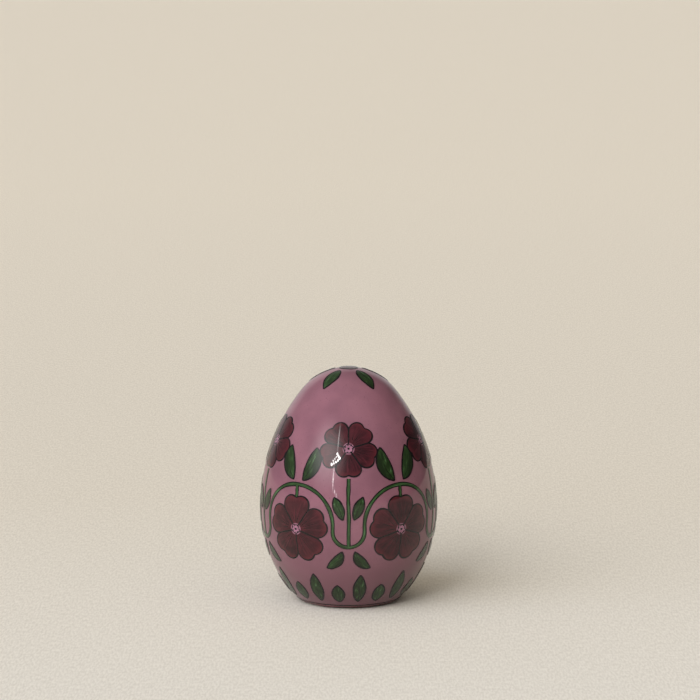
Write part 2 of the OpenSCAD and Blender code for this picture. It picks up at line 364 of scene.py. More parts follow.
def leaf_outline(length, width, bow, inset):
    """A pointed leaf along +Y between two arcs."""
    right, left = (0.5 + bow) * width, (0.5 - bow) * width
    right_r = (length ** 2 / 4 + right ** 2) / (2 * right)
    left_r = (length ** 2 / 4 + left ** 2) / (2 * left)
    right_x, left_x = right - right_r, left_r - left
    right_r, left_r = right_r - inset, left_r - inset
    meet = (right_r ** 2 - left_r ** 2 + left_x ** 2 - right_x ** 2) / (2 * (left_x - right_x))
    rise = math.sqrt(right_r ** 2 - (meet - right_x) ** 2)
    right_a = math.atan2(rise, meet - right_x)
    left_a = math.atan2(rise, meet - left_x)
    right_side = arc_points((right_x, length / 2), right_r, -right_a, right_a, CURVE_POINTS)
    left_side = arc_points((left_x, length / 2), left_r, left_a, 2 * math.pi - left_a, CURVE_POINTS)
    return np.vstack([right_side[:-1], left_side[:-1]])


# Sizes of the painted design, which its brush strokes and its finishes share
LINE_W = 0.6
VINE_HALF_W = 0.85
LEAF_LEN, LEAF_W, LEAF_BOW = 14.0, 6.0, 0.3


# Finishes
def linear(hex_code):
    """A screen colour in hex as the linear colour that the nodes take."""
    parts = [int(hex_code[i:i + 2], 16) / 255 for i in (1, 3, 5)]
    return tuple(c / 12.92 if c <= 0.04045 else ((c + 0.055) / 1.055) ** 2.4 for c in parts) + (1.0,)


def add(tree, kind, inputs=None, stops=(), **settings):
    """Adds a node with its settings, its inputs linked or set and its ramp's stops."""
    node = tree.nodes.new("ShaderNode" + kind)
    for name, value in settings.items():
        setattr(node, name, value)
    for name, value in (inputs or {}).items():
        if isinstance(value, bpy.types.NodeSocket):
            tree.links.new(value, node.inputs[name])
        else:
            node.inputs[name].default_value = value
    for i, (place, hex_code) in enumerate(stops):
        ramp = node.color_ramp.elements
        if i == 0:
            ramp.remove(ramp[1])
        stop = ramp.new(place) if i else ramp[0]
        stop.position = place
        stop.color = linear(hex_code)
    return node.outputs


def new_finish(name):
    material = bpy.data.materials.new(name)
    material.use_nodes = True
    material.node_tree.nodes.clear()
    return material, material.node_tree


def grain(tree, size_mm, detail=2.0):
    """Even noise through the body, with spots of that size."""
    place = add(tree, "TexCoord")["Object"]
    return add(tree, "TexNoise", {"Vector": place, "Scale": 1 / (size_mm * MM), "Detail": detail})["Fac"]


def streaks(tree, mark_mm, streak_mm):
    """Noise drawn out along the brush's way: the real size of one unit of the brush marks along
    and across, and how far apart the changes lie along and across."""
    marks = add(tree, "UVMap", uv_map="brush")["UV"]
    scale = (mark_mm[0] / streak_mm[0], mark_mm[1] / streak_mm[1], 0.0)
    drawn = add(tree, "VectorMath", {0: marks, 1: scale}, operation="MULTIPLY")["Vector"]
    seed = add(tree, "Attribute", attribute_name="seed")["Fac"]
    apart = add(tree, "CombineXYZ", {"Z": seed})["Vector"]
    place = add(tree, "VectorMath", {0: drawn, 1: apart}, operation="ADD")["Vector"]
    return add(tree, "TexNoise", {"Vector": place, "Scale": 1.0, "Detail": 3.0})["Fac"]


def brush_mark(tree, name):
    """One of the two brush marks: X runs along the stroke, Y across it."""
    marks = add(tree, "UVMap", uv_map="brush")["UV"]
    return add(tree, "SeparateXYZ", {0: marks})[name]


def off_middle(tree):
    """How far from the stroke's middle line: 0 on it and 1 at either side."""
    return add(tree, "Math", {0: brush_mark(tree, "Y")}, operation="ABSOLUTE")["Value"]


def laid_over(tree, under, over, value, bare, covered, way="MIX"):
    """The colour under, covered by the colour over as the value goes from bare to covered."""
    share = add(tree, "MapRange", {"Value": value, "From Min": bare, "From Max": covered},
                interpolation_type="SMOOTHSTEP")["Result"]
    return add(tree, "MixRGB", {"Fac": share, "Color1": under, "Color2": over}, blend_type=way)["Color"]


# Painted shapes differ in tone by up to this share
TONE_SHARE = 0.35


def varied(tree, colour, other):
    """The colour nearer to the other one, by a share that is the same all over one painted shape."""
    seed = add(tree, "Attribute", attribute_name="seed")["Fac"]
    part = add(tree, "Math", {0: seed}, operation="FRACT")["Value"]
    share = add(tree, "Math", {0: part, 1: TONE_SHARE}, operation="MULTIPLY")["Value"]
    return add(tree, "MixRGB", {"Fac": share, "Color1": colour, "Color2": other})["Color"]


GLAZE_IOR = 1.5
GLAZE_ROUGHNESS = 0.035
GLAZE_WEIGHT = 0.75
COLOUR_ROUGHNESS = 0.42
COLOUR_SHINE = 0.05
# The clear glaze lies in waves about this far apart and this high, and pits far smaller
GLAZE_WAVE_MM = 7.0
GLAZE_WAVE_H_MM = 0.02
GLAZE_PIT_MM = 0.9
GLAZE_PIT_H_MM = 0.0016


def under_clear_glaze(tree, colour):
    """The painted colour seen through a glossy clear glaze: a sharp reflection over soft colour."""
    wave = add(tree, "Bump", {"Height": grain(tree, GLAZE_WAVE_MM), "Strength": 1.0,
                              "Distance": GLAZE_WAVE_H_MM * MM})["Normal"]
    skin_normal = add(tree, "Bump", {"Height": grain(tree, GLAZE_PIT_MM), "Strength": 1.0,
                                     "Distance": GLAZE_PIT_H_MM * MM, "Normal": wave})["Normal"]
    surface = add(tree, "BsdfPrincipled", {
        "Base Color": colour, "Roughness": COLOUR_ROUGHNESS, "IOR": GLAZE_IOR,
        "Specular IOR Level": COLOUR_SHINE, "Coat Weight": GLAZE_WEIGHT,
        "Coat Roughness": GLAZE_ROUGHNESS, "Coat IOR": GLAZE_IOR, "Normal": skin_normal,
        "Coat Normal": skin_normal})["BSDF"]
    add(tree, "OutputMaterial", {"Surface": surface})


CLOUD_MM = 11.0
SPECK_MM = 0.55
# Heights between which the ground is darkened with painted shade low on the egg, and between which the
# glaze thins at the foot
LOW_SHADE_FROM_MM, LOW_SHADE_TO_MM = 34.0, 6.0
THIN_FROM_MM, THIN_TO_MM = 2.4, 1.0


def mauve_ground_glaze():
    """Sprayed mauve underglaze: a little cloudy, darker low on the egg from painted shade, browner at
    the foot.
    """
    material, tree = new_finish("mauve_ground_glaze")
    cloud = add(tree, "ValToRGB", {"Fac": grain(tree, CLOUD_MM, 4.0)}, stops=(
        (0.34, "#764e59"), (0.66, "#845863")))["Color"]
    height = add(tree, "SeparateXYZ", {0: add(tree, "TexCoord")["Object"]})["Z"]
    even = laid_over(tree, cloud, linear("#6f4955"), grain(tree, SPECK_MM, 1.0), 0.66, 0.76)
    # Painted shade: the ground turns darker towards the lower part of the egg
    deep = laid_over(tree, even, linear("#69464d"), height, LOW_SHADE_FROM_MM * MM, LOW_SHADE_TO_MM * MM)
    thin = laid_over(tree, deep, linear("#6c4346"), height, THIN_FROM_MM * MM, THIN_TO_MM * MM)
    under_clear_glaze(tree, thin)
    return material


# How long and wide one unit of a petal's brush marks is, and how far apart its streaks lie
PETAL_MARK_MM = (11.0, 4.0)
PETAL_STREAK_MM = (5.0, 0.5)
POOL_MM, POOL_SHARE = 3.5, 0.35


def maroon_underglaze():
    """Maroon laid on with a loaded brush: darker where it pools, rose at the petals' edges."""
    material, tree = new_finish("maroon_underglaze")
    brushed = add(tree, "ValToRGB", {"Fac": streaks(tree, PETAL_MARK_MM, PETAL_STREAK_MM)}, stops=(
        (0.30, "#1e050a"), (0.48, "#2c0910"), (0.60, "#3b0e16"), (0.74, "#521e27")))["Color"]
    pooled = add(tree, "ValToRGB", {"Fac": grain(tree, POOL_MM, 3.0)}, stops=(
        (0.42, "#260810"), (0.66, "#541e27")))["Color"]
    laid = add(tree, "MixRGB", {"Fac": POOL_SHARE, "Color1": brushed, "Color2": pooled})["Color"]
    toned = varied(tree, laid, linear("#481920"))
    edged = laid_over(tree, toned, linear("#4b181f"), brush_mark(tree, "X"), 0.78, 0.97, "LIGHTEN")
    under_clear_glaze(tree, edged)
    return material


# How far apart a leaf's streaks lie along it and across it
LEAF_STREAK_MM = (3.0, 0.9375)


def green_underglaze():
    """Leaf green brushed along the leaf: deep at the sides, with paler streaks down the middle."""
    material, tree = new_finish("green_underglaze")
    brushed = add(tree, "ValToRGB", {"Fac": streaks(tree, (LEAF_W, LEAF_W / 2), LEAF_STREAK_MM)}, stops=(
        (0.34, "#131d09"), (0.50, "#1b2a10"), (0.62, "#293c1e"), (0.76, "#507049")))["Color"]
    toned = varied(tree, brushed, linear("#2f4a27"))
    under_clear_glaze(tree, laid_over(tree, toned, linear("#16210d"), off_middle(tree), 0.35, 1.0))
    return material


# The vine's streaks; its brush marks run in millimetres along it and in half widths across it
VINE_STREAK_MM = (6.25, 0.425)


def vine_underglaze():
    """Green drawn in one long stroke: the colour pools dark along both its edges."""
    material, tree = new_finish("vine_underglaze")
    brushed = add(tree, "ValToRGB", {"Fac": streaks(tree, (1.0, VINE_HALF_W), VINE_STREAK_MM)}, stops=(
        (0.32, "#1d2d13"), (0.52, "#2b4321"), (0.72, "#4a6c44")))["Color"]
    under_clear_glaze(tree, laid_over(tree, brushed, linear("#0e150b"), off_middle(tree), 0.38, 0.58))
    return material


LINE_CLOUD_MM = 1.6


def dark_line_underglaze():
    """Brown-black drawn with a fine brush: nearly opaque, a little thinner here and there."""
    material, tree = new_finish("dark_line_underglaze")
    drawn = add(tree, "ValToRGB", {"Fac": grain(tree, LINE_CLOUD_MM, 3.0)}, stops=(
        (0.40, "#0b0708"), (0.58, "#120b0d"), (0.74, "#26161a")))["Color"]
    under_clear_glaze(tree, drawn)
    return material


DAB_MM = 1.3


def pink_underglaze():
    """Pale mauve pink dabbed into the roses' eyes: cloudy, and darker at the rim of each dab."""
    material, tree = new_finish("pink_underglaze")
    dabbed = add(tree, "ValToRGB", {"Fac": grain(tree, DAB_MM)}, stops=(
        (0.36, "#7f5263"), (0.64, "#9c6e80")))["Color"]
    rim = laid_over(tree, dabbed, linear("#5c2e38"), brush_mark(tree, "X"), 0.72, 1.0)
    under_clear_glaze(tree, rim)
    return material


CLAY_ROUGHNESS, CLAY_IOR = 0.88, 1.5
BLOTCH_MM = 6.0
# Grit of 0.3 mm is drawn at 0.5 mm so that it shows
GRIT_MM = 0.5
# The dry surface is rough in grains of this size and height
TOOTH_MM, TOOTH_H_MM = 0.45, 0.03
# Heights over the table, and distances from the axis, between which the clay turns dark red-brown at the
# foot's lowest outer edge
DARK_EDGE_Z_MM = (0.02, 0.3)
DARK_EDGE_OUT_MM = (12.5, 14.0)


def bisque_earthenware():
    """Bare fired earthenware: dry, pale tan and finely gritty, dark red-brown along the lowest outer
    edge of the foot.
    """
    material, tree = new_finish("bisque_earthenware")
    clay = add(tree, "ValToRGB", {"Fac": grain(tree, BLOTCH_MM, 5.0)}, stops=(
        (0.35, "#b89e84"), (0.65, "#cdb89f")))["Color"]
    gritty = laid_over(tree, clay, linear("#8d6f57"), grain(tree, GRIT_MM, 1.0), 0.62, 0.72)
    place = add(tree, "TexCoord")["Object"]
    height = add(tree, "SeparateXYZ", {0: place})["Z"]
    level = add(tree, "VectorMath", {0: place, 1: (1.0, 1.0, 0.0)}, operation="MULTIPLY")["Vector"]
    out = add(tree, "VectorMath", {0: level}, operation="LENGTH")["Value"]
    brown = laid_over(tree, gritty, linear("#4f2a24"), height, *(z * MM for z in DARK_EDGE_Z_MM))
    # Only the outside of the foot turns darker there, not the recess in it
    dark_edged = laid_over(tree, gritty, brown, out, *(r * MM for r in DARK_EDGE_OUT_MM))
    normal = add(tree, "Bump", {"Height": grain(tree, TOOTH_MM, 3.0), "Strength": 1.0,
                                "Distance": TOOTH_H_MM * MM})["Normal"]
    surface = add(tree, "BsdfPrincipled", {"Base Color": dark_edged, "Roughness": CLAY_ROUGHNESS,
                                           "IOR": CLAY_IOR, "Normal": normal})["BSDF"]
    add(tree, "OutputMaterial", {"Surface": surface})
    return material


# Coarse threads about 1.1 mm apart: noise with cells of 0.72 mm has its crests that far apart.
# The slubs in them are five times as long
THREAD_MM, SLUB_MM = 0.72, 3.6
# The warp, which runs away from the eye, shows more than the weft
WEFT_SHARE = 0.5
CLOTH_ROUGHNESS, CLOTH_SHINE = 0.9, 0.2
# Painted light on the weave, at distances behind the egg in metres: the cloth is painted paler and
# cooler close by, where the window's light falls, and a warmer tone further off
CLOTH_LIGHT_TONES = ((-0.14, "#ffffff"), (0.2, "#f9f6f1"), (0.46, "#f9f6f1"), (1.5, "#fffbf4"))


def threads(tree, place, x_mm, y_mm):
    """Noise over the flat cloth that changes over those lengths in X and in Y."""
    scale = (1 / (x_mm * MM), 1 / (y_mm * MM), 0.0)
    drawn = add(tree, "VectorMath", {0: place, 1: scale}, operation="MULTIPLY")["Vector"]
    return add(tree, "TexNoise", {"Vector": drawn, "Scale": 1.0, "Detail": 2.0})["Fac"]


def linen_cloth():
    """Beige linen woven both ways: matt, and finely uneven from its slubbed threads."""
    material, tree = new_finish("linen_cloth")
    place = add(tree, "TexCoord")["Object"]
    warp = threads(tree, place, THREAD_MM, SLUB_MM)
    weft = threads(tree, place, SLUB_MM, THREAD_MM)
    both = add(tree, "Math", {0: weft, 1: WEFT_SHARE, 2: warp}, operation="MULTIPLY_ADD")["Value"]
    woven = laid_over(tree, linear("#d3cdc2"), linear("#e5e0d6"), both, 0.48, 1.02)
    # Painted light: the weave is made paler and cooler near the egg and warmer further off
    near, far = CLOTH_LIGHT_TONES[0][0], CLOTH_LIGHT_TONES[-1][0]
    away = add(tree, "SeparateXYZ", {0: place})["Y"]
    depth = add(tree, "MapRange", {"Value": away, "From Min": near, "From Max": far})["Result"]
    painted_light_tone = add(tree, "ValToRGB", {"Fac": depth}, stops=tuple(
        ((distance - near) / (far - near), colour) for distance, colour in CLOTH_LIGHT_TONES))["Color"]
    cloth = add(tree, "MixRGB", {"Fac": 1.0, "Color1": woven, "Color2": painted_light_tone},
                blend_type="MULTIPLY")["Color"]
    surface = add(tree, "BsdfPrincipled", {"Base Color": cloth, "Roughness": CLOTH_ROUGHNESS,
                                           "Specular IOR Level": CLOTH_SHINE})["BSDF"]
    add(tree, "OutputMaterial", {"Surface": surface})
    return material


# The turned pieces: the clay under everything and the mauve glaze over it
AROUND = 240
GLAZE_T = 0.5
DRY_FOOT_H = 0.8
WALL_T = 4.0
FLOOR_T = 5.0
RECESS_H = 1.2
RECESS_R = 12.0
VENT_R = 4.0
FOOT_EDGE_R = 2.0
SOFT_R = 0.35
BEAD_R = 0.18
# The inside of the glaze stays this far off the clay
CLAY_GAP = 0.08
# The skin's arcs run on this far inside the foot's radius
PAST_FOOT = 1.0
SHARP_DEG = 50
# Points along the profiles: outside, inside, round the foot, round small edges and the bead
CLAY_OUT_POINTS, CLAY_IN_POINTS = 150, 90
GLAZE_OUT_POINTS, GLAZE_IN_POINTS = 190, 100
FOOT_POINTS, SOFT_POINTS, BEAD_POINTS = 12, 5, 6
# The fired glaze lies lower by up to twice this in places, though not at the crown and the foot
SWELL_H = 0.02
CROWN_FADE, FOOT_FADE = 12.0, 3.0
# Waves of its swell: how many go round, the height that shifts them by one radian, and a start
SWELL_WAVES = ((3, 9.0, 0.0), (5, -6.0, 1.0), (2, 14.0, 2.0))
# The glaze's lower edge wanders up and down by about this, which fades out over this height
EDGE_WANDER, EDGE_FADE = 0.06, 0.7
# Waves of that edge: their size, how many go round, and a start
EDGE_WAVES = ((1.0, 4, 0.6), (0.7, 9, 2.1), (0.5, 17, 4.0))


def skin_profile(lift, top, bottom_z, count):
    """Radius and height down the skin from the crown's top to a height, at evenly set tilts."""
    low = -math.acos((FOOT_R - PAST_FOOT) / BASE_R)
    points = np.array([skin(tilt, lift) for tilt in np.linspace(math.pi / 2, low, count)])
    return points[(points[:, 1] > bottom_z) & (points[:, 1] <= top)]


def add_turned(batch, profile, shift):
    """A closed turned shape whose profile starts and ends on the axis; shift moves each point."""
    rings = len(profile) - 2
    angles = np.linspace(0.0, 2 * math.pi, AROUND, endpoint=False)
    ring = np.stack([np.sin(angles), -np.cos(angles)], axis=1)
    points = np.empty((rings, AROUND, 3))
    points[:, :, :2] = profile[1:-1, None, :1] * ring[None]
    points[:, :, 2] = profile[1:-1, None, 1]
    ends = np.array([[0.0, 0.0, profile[0][1]], [0.0, 0.0, profile[-1][1]]])
    faces = []
    for i in range(rings - 1):
        faces += ring_faces((i + 1) * AROUND, i * AROUND, AROUND)
    first, last = rings * AROUND, rings * AROUND + 1
    faces += [(first, i, (i + 1) % AROUND) for i in range(AROUND)]
    base = (rings - 1) * AROUND
    faces += [(last, base + (i + 1) % AROUND, base + i) for i in range(AROUND)]
    points = np.vstack([shift(points.reshape(-1, 3)), ends])
    batch.add(points, faces, np.zeros((len(points), 2)), 0.0)


def unmoved(points):
    return points


def settled_glaze(points):
    """The glaze lies a little unevenly, and its lower edge wanders round the foot."""
    turn = np.arctan2(points[:, 0], -points[:, 1])
    height = points[:, 2]
    gap, normal = nearest(points)
    outer = gap > -GLAZE_T / 2
    swell = sum(np.sin(count * turn + height / pitch + start)
                for count, pitch, start in SWELL_WAVES) / len(SWELL_WAVES)
    fade = (np.clip((EGG_H - height) / CROWN_FADE, 0.0, 1.0)
            * np.clip((height - DRY_FOOT_H) / FOOT_FADE, 0.0, 1.0))
    points = points - normal * (outer * fade * SWELL_H * (1 + swell))[:, None]
    edge = sum(size * np.sin(count * turn + start) for size, count, start in EDGE_WAVES)
    low = np.clip((DRY_FOOT_H + EDGE_FADE - height) / EDGE_FADE, 0.0, 1.0)
    points[:, 2] += low * EDGE_WANDER * edge
    return points


def clay_profile():
    """The hollow clay from the crown down its outside, under the foot, up the vent and back."""
    round_r = BASE_R - GLAZE_T
    edge_x = math.sqrt((round_r - FOOT_EDGE_R) ** 2 - (BASE_Z - FOOT_EDGE_R) ** 2)
    edge_z = BASE_Z - round_r * (BASE_Z - FOOT_EDGE_R) / (round_r - FOOT_EDGE_R)
    edge_a = math.asin((edge_z - FOOT_EDGE_R) / FOOT_EDGE_R)
    down, left, up = -math.pi / 2, math.pi, math.pi / 2
    inner = skin_profile(-GLAZE_T - WALL_T, EGG_H, FLOOR_T, CLAY_IN_POINTS)
    return np.vstack([
        skin_profile(-GLAZE_T, EGG_H, edge_z, CLAY_OUT_POINTS),
        arc_points((edge_x, FOOT_EDGE_R), FOOT_EDGE_R, edge_a, down, FOOT_POINTS),
        arc_points((RECESS_R + SOFT_R, SOFT_R), SOFT_R, down, -left, SOFT_POINTS),
        arc_points((RECESS_R - SOFT_R, RECESS_H - SOFT_R), SOFT_R, 0.0, up, SOFT_POINTS),
        arc_points((VENT_R + SOFT_R, RECESS_H + SOFT_R), SOFT_R, down, -left, SOFT_POINTS),
        arc_points((VENT_R + SOFT_R, FLOOR_T - SOFT_R), SOFT_R, left, up, SOFT_POINTS),
        [[inner[-1][0], FLOOR_T]],
        inner[::-1]])


def glaze_profile():
    """The coat from the crown down its outside, round its beaded lower edge and back up."""
    edge_z = DRY_FOOT_H + BEAD_R
    out = skin(tilt_at(edge_z))[0]
    return np.vstack([
        skin_profile(0.0, EGG_H, edge_z, GLAZE_OUT_POINTS),
        arc_points((out - BEAD_R, edge_z), BEAD_R, 0.0, -math.pi / 2, BEAD_POINTS),
        skin_profile(-GLAZE_T + CLAY_GAP, EGG_H, edge_z + BEAD_R, GLAZE_IN_POINTS)[::-1]])


def make_turned():
    clay, glaze = Batch(), Batch()
    add_turned(clay, clay_profile(), unmoved)
    body = make_piece("bisque_body", clay, bisque_earthenware(), "clay_body")
    body.data.set_sharp_from_angle(angle=math.radians(SHARP_DEG))
    add_turned(glaze, glaze_profile(), settled_glaze)
    make_piece("mauve_glaze_coat", glaze, mauve_ground_glaze(), "ground_glaze")


# Brush lines: an outline's half width changes by this share
LINE_UNEVEN = 0.28
# A fine line swells over the first share of its length and runs out after the second
SWELL_END, RUNOUT_START = 0.25, 0.35
SWELL_POWER, RUNOUT_POWER = 0.7, 1.6
THINNEST_SHARE = 0.1


def add_outline(batch, turn, tilt, flat, seed):
    """A dark brush line round a painted shape, its width a little uneven."""
    half_w = LINE_W / 2 * (1 + LINE_UNEVEN * waver(len(flat)))
    add_stroke(batch, on_egg(turn, tilt, flat), half_w, LINE_H, LINE_SECTION, True, seed)


def add_fine_line(batch, turn, tilt, flat, half_w, ends, height, seed):
    """A dark line that swells between two thin ends, whose widths are shares of its widest."""
    s = np.linspace(0.0, 1.0, len(flat))
    swell = (1 - ends[0]) * np.minimum(1.0, s / SWELL_END) ** SWELL_POWER
    late = np.clip((s - RUNOUT_START) / (1 - RUNOUT_START), 0.0, 1.0)
    runout = (1 - ends[1]) * late ** RUNOUT_POWER
    width = half_w * np.maximum(ends[0] + swell - runout, THINNEST_SHARE)
    add_stroke(batch, on_egg(turn, tilt, flat), width, height, LINE_SECTION, False, seed)


# The two rings of roses
ROSES = 5
STEP = 2 * math.pi / ROSES
LOW_ROSE_R, LOW_ROSE_Z = 12.5, 32.0
HIGH_ROSE_R, HIGH_ROSE_Z = 10.5, 62.0
# Turn, tilt, radius and the way that the first petal points, for each rose
ROSE_PLACES = ([((i + 0.5) * STEP, tilt_at(LOW_ROSE_Z), LOW_ROSE_R, math.pi / 2) for i in range(ROSES)]
               + [(i * STEP, tilt_at(HIGH_ROSE_Z), HIGH_ROSE_R, -math.pi / 2) for i in range(ROSES)])
# Every rose and every petal in it has its own seed
ROSE_SEED, PETAL_SEED = 3.7, 0.61

# A petal starts at a share of the eye's radius, and its fill keeps just inside its line
PETAL_START_SHARE, PETAL_MIDDLE_SHARE, PETAL_FILL_SHARE = 0.8, 0.6, 0.985
PETAL_POINTS, PETAL_ROUNDS = 120, 2
PETAL_WOBBLE = 0.10

# Veins: how far to the petal's side each lies and how far out it reaches
VEIN_SHARES = ((-0.42, 0.62), (0.02, 0.76), (0.46, 0.58))
# They start between these shares of the eye's radius, stray in reach, and fan out as they go
VEIN_START_SHARES = (1.15, 1.5)
VEIN_STRAY_SHARES = (-0.06, 0.04)
VEIN_LEAN_STRAY = 0.02
VEIN_FAN_SHARES = (0.75, 0.35)
VEIN_HALF_W, VEIN_ENDS, VEIN_POINTS = 0.2, (0.5, 0.12), 16
VEIN_H = 0.8 * LINE_H

EYE_R = 2.4
EYE_POINTS, EYE_WOBBLE = 48, 0.12
# One dark dot in the middle of the eye, and a ring of them round it
STAMEN_R, STAMEN_COUNT = 0.35, 7
STAMEN_RING_SHARE, STAMEN_STRAY = 0.62, 0.08
STAMEN_SIZE_SHARES, MIDDLE_DOT_SHARE = (0.85, 1.1), 1.3
STAMEN_POINTS, STAMEN_WOBBLE = 18, 0.04

# The bud on the crown, and the folds that wind out from its middle
BUD_R, BUD_SEED = 3.4, 41.0
BUD_POINTS, BUD_LINE_SHARE = 64, 0.97
FOLDS, FOLD_SWEEP, FOLD_POINTS = 3, 1.9, 24
FOLD_SHARES = (0.2, 0.9)
FOLD_HALF_W, FOLD_ENDS = 0.26, (0.4, 0.15)
FOLD_H = 0.85 * LINE_H


def petal_mark(r, angle):
    """Brush marks of a petal: distance from the eye, and how far to its side."""
    def mark(flat):
        out = np.hypot(flat[:, 0], flat[:, 1]) / r
        off = np.arctan2(flat[:, 1], flat[:, 0]) - angle
        off = (off + math.pi) % (2 * math.pi) - math.pi
        return np.stack([out, off / PETAL_HALF], axis=1)
    return mark


def round_mark(middle, r):
    """Brush marks of a round dab: distance from its middle, and the way round it."""
    def mark(flat):
        off = flat - middle
        return np.stack([np.hypot(off[:, 0], off[:, 1]) / r,
                         np.arctan2(off[:, 1], off[:, 0]) / math.pi], axis=1)
    return mark


def add_veins(lines, turn, tilt, r, angle, seed):
    """The fine lines that fan out from the eye along a petal."""
    for side, reach in VEIN_SHARES:
        start = EYE_R * rng.uniform(*VEIN_START_SHARES)
        end = r * (reach + rng.uniform(*VEIN_STRAY_SHARES))
        out = np.linspace(start, end, VEIN_POINTS)
        fan = VEIN_FAN_SHARES[0] + VEIN_FAN_SHARES[1] * (out - start) / (end - start)
        way = angle + (side * PETAL_HALF * fan + rng.uniform(-VEIN_LEAN_STRAY, VEIN_LEAN_STRAY))
        vein = np.stack([out * np.cos(way), out * np.sin(way)], axis=1)
        add_fine_line(lines, turn, tilt, vein, VEIN_HALF_W, VEIN_ENDS, VEIN_H, seed)


def add_petal(petals, lines, turn, tilt, r, angle, seed):
    """One petal that points along angle: its fill, the dark line round it and its veins."""
    outline = even_closed(petal_outline(r, EYE_R * PETAL_START_SHARE), PETAL_ROUNDS, PETAL_POINTS)
    shape = turned(wobble(outline, PETAL_WOBBLE), angle)
    middle = turned(np.array([[PETAL_MIDDLE_SHARE * r, 0.0]]), angle)[0]
    fill = middle + PETAL_FILL_SHARE * (shape - middle)
    add_pad(petals, turn, tilt, fill, middle, PAINT_H, petal_mark(r, angle), seed)
    add_outline(lines, turn, tilt, shape, seed)
    add_veins(lines, turn, tilt, r, angle, seed)


def add_eye(eyes, dots, turn, tilt, seed):
    """The pale dab in the middle of a rose and the dark dots on it."""
    centre = np.zeros(2)
    eye = wobble(circle_points(centre, EYE_R, EYE_POINTS), EYE_WOBBLE)
    add_pad(eyes, turn, tilt, eye, centre, PAINT_H + OVER_H, round_mark(centre, EYE_R), seed)
    for k in range(STAMEN_COUNT + 1):
        spread = STAMEN_RING_SHARE * EYE_R * (1 + rng.uniform(-STAMEN_STRAY, STAMEN_STRAY)) if k else 0.0
        angle = k * 2 * math.pi / STAMEN_COUNT + rng.uniform(-STAMEN_STRAY, STAMEN_STRAY)
        middle = spread * np.array([math.cos(angle), math.sin(angle)])
        size = STAMEN_R * rng.uniform(*STAMEN_SIZE_SHARES) * (1.0 if k else MIDDLE_DOT_SHARE)
        dot = wobble(circle_points(middle, size, STAMEN_POINTS), STAMEN_WOBBLE)
        add_pad(dots, turn, tilt, dot, middle, LINE_H + OVER_H, round_mark(middle, size), k)


def add_bud(buds, lines):
    """The round closed bud on the crown with the folds of its petals."""
    top = math.pi / 2
    centre = np.zeros(2)
    bud = wobble(circle_points(centre, BUD_R, BUD_POINTS), EYE_WOBBLE)
    add_pad(buds, 0.0, top, bud, centre, PAINT_H, round_mark(centre, BUD_R), BUD_SEED)
    add_outline(lines, 0.0, top, BUD_LINE_SHARE * bud, BUD_SEED)
    for k in range(FOLDS):
        way = k * 2 * math.pi / FOLDS + np.linspace(0.0, FOLD_SWEEP, FOLD_POINTS)
        out = BUD_R * np.linspace(*FOLD_SHARES, FOLD_POINTS)
        fold = np.stack([out * np.cos(way), out * np.sin(way)], axis=1)
        add_fine_line(lines, 0.0, top, fold, FOLD_HALF_W, FOLD_ENDS, FOLD_H, BUD_SEED)


def make_roses(dark):
    petals, lines, eyes, dots, buds = Batch(), Batch(), Batch(), Batch(), Batch()
    for rose, (turn, tilt, r, first) in enumerate(ROSE_PLACES):
        for k in range(PETALS):
            add_petal(petals, lines, turn, tilt, r, first + k * 2 * PETAL_HALF,
                      ROSE_SEED * rose + PETAL_SEED * k)
        add_eye(eyes, dots, turn, tilt, ROSE_SEED * rose)
    add_bud(buds, lines)
    maroon = maroon_underglaze()
    make_paint("petal_fills", petals, maroon, "petals")
    make_paint("petal_outlines", lines, dark, "petal_lines")
    make_paint("rose_eye_dabs", eyes, pink_underglaze(), "rose_eyes")
    make_paint("stamen_dots", dots, dark, "stamens")
    make_paint("crown_bud_fill", buds, maroon, "crown_bud")


# The vine: half waves of two arcs each on the tangent plane at their middle, and stalks
VINE_LOW_Z, VINE_HIGH_Z = 26.0, 48.5
HIGH_BEND_SHARE = 0.72
LOW_BEND_POINTS, HIGH_BEND_POINTS = 24, 48
VINE_SPACING, VINE_ROUNDS = 0.7, 4
# Half widths of the vine and of its stalks, and how much they waver, as shares of VINE_HALF_W
VINE_WIDTH_SHARES, STALK_WIDTH_SHARES = (0.94, 0.1), (0.9, 0.1)
STALK_MIN_POINTS = 8
STALK_SWAY = 0.12
STALK_OVERLAP = 0.6
STALK_H = 0.94 * PAINT_H
FIRST_STALK_SEED = 5.0
# Foot and head of the stalk under each high rose, and of the one over each low rose
HIGH_STALK = (VINE_LOW_Z, HIGH_ROSE_Z - HIGH_ROSE_R)
LOW_STALK = (LOW_ROSE_Z + LOW_ROSE_R - STALK_OVERLAP, VINE_HIGH_Z)


def half_wave(turn, side):
    """Points from a low bend up to the high bend at its side."""
    middle = turn + side * STEP / 4
    tilt = tilt_at((VINE_LOW_Z + VINE_HIGH_Z) / 2)
    low = flat_of(middle, tilt, turn, VINE_LOW_Z)
    high = flat_of(middle, tilt, turn + side * STEP / 2, VINE_HIGH_Z)
    rise = high[1] - low[1]
    reach = abs(high[0] - low[0])
    both_r = (reach ** 2 + rise ** 2) / (2 * rise)
    high_r = HIGH_BEND_SHARE * both_r
    low_r = both_r - high_r
    sweep = side * math.acos(1 - rise / both_r)
    down, up = -math.pi / 2, math.pi / 2
    first = arc_points((low[0], low[1] + low_r), low_r, down, down + sweep, LOW_BEND_POINTS)
    second = arc_points((high[0], high[1] - high_r), high_r, up + sweep, up, HIGH_BEND_POINTS)
    return on_egg(middle, tilt, np.vstack([first, second[1:]]))


